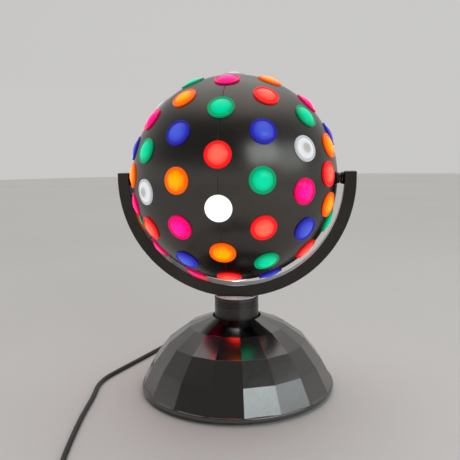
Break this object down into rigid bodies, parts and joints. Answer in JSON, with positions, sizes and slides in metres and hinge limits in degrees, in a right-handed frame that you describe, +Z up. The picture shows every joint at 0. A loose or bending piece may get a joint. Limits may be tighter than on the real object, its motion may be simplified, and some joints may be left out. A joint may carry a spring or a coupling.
{
  "type": "disco lamp",
  "caption": "Table disco lamp: a dark ball set with coloured lens buttons turns between the arms of a C-shaped yoke on a faceted dome base, with a cord, hand switch and plug.",
  "frame": {"origin": "middle of the base, on the surface that the feet stand on", "axes": "+Z up, front faces -Y, the ball turns about a level axis along X"},
  "size_m": [0.2859, 0.4756, 0.3314],
  "materials": {
    "dome_metal": "satin gunmetal, mirror-like facets",
    "yoke_metal": "polished gunmetal, satin front",
    "neck_metal": "satin black",
    "ball_shell": "black chrome plated, mirror-like",
    "steel": "plain zinc plated steel",
    "weight_iron": "as cast, painted",
    "black_plastic": "matt black moulding",
    "white_plastic": "matt white moulding",
    "gear_plastic": "natural nylon",
    "motor_steel": "pressed steel can",
    "brass": "plain brass",
    "bulb_glass": "clear glass",
    "foot_rubber": "matt black rubber",
    "cord_rubber": "matt black sheath",
    "lens_red": "clear moulded lens, lit from inside",
    "lens_orange": "clear moulded lens, lit from inside",
    "lens_green": "clear moulded lens, lit from inside",
    "lens_blue": "clear moulded lens, lit from inside",
    "lens_pink": "clear moulded lens, lit from inside",
    "lens_clear": "clear moulded lens, lit from inside"
  },
  "bodies": {
    "base": {"base_dome": "dome_metal", "base_plate": "steel", "rubber_feet": "foot_rubber", "base_weight": "weight_iron", "weight_screws": "steel", "center_rod": "steel", "rod_nuts": "steel", "rod_washers": "steel", "neck_tube": "neck_metal", "yoke_frame": "yoke_metal", "yoke_cover_left": "yoke_metal", "yoke_cover_right": "yoke_metal", "yoke_screws": "steel", "lamp_axle": "steel", "pivot_pin": "steel", "pin_clip": "steel", "arm_nuts": "steel", "motor_bracket": "steel", "motor_housing": "motor_steel", "motor_screws": "steel", "axle_nut": "steel", "axle_spacer": "gear_plastic", "lampholder": "white_plastic", "bulb_cap": "brass", "bulb_glass": "bulb_glass", "cord_gland": "black_plastic", "gland_nut": "black_plastic", "terminal_block": "white_plastic", "cord_stretch": "cord_rubber", "switch_base": "black_plastic", "switch_cover": "black_plastic", "switch_screws": "steel", "cord_coil": "cord_rubber", "coil_tie": "black_plastic", "plug_body": "black_plastic", "plug_pins": "brass"},
    "ball": {"ball_shell_left": "ball_shell", "ball_shell_right": "ball_shell", "seam_ring": "black_plastic", "hub_bush_left": "black_plastic", "hub_bush_right": "black_plastic", "ball_gear": "gear_plastic", "gear_screws": "steel", "lenses_red": "lens_red", "lenses_orange": "lens_orange", "lenses_green": "lens_green", "lenses_blue": "lens_blue", "lenses_pink": "lens_pink", "lenses_clear": "lens_clear"},
    "pinion": {"drive_pinion": "brass"},
    "rocker": {"switch_rocker": "black_plastic"}
  },
  "joints": [
    {"name": "ball_spin", "type": "hinge", "parent": "base", "child": "ball", "pos_m": [0, 0, 0.223], "axis": [1, 0, 0], "continuous": true},
    {"name": "pinion_spin", "type": "hinge", "parent": "base", "child": "pinion", "pos_m": [-0.0934, 0, 0.1929], "axis": [1, 0, 0], "continuous": true},
    {"name": "switch_rock", "type": "hinge", "parent": "base", "child": "rocker", "pos_m": [-0.031, -0.232, 0.015], "axis": [0, 1, 0], "range_deg": [0, 16]}
  ],
  "couplings": [
    {"joint": "pinion_spin", "follows": "ball_spin", "ratio": -4}
  ]
}
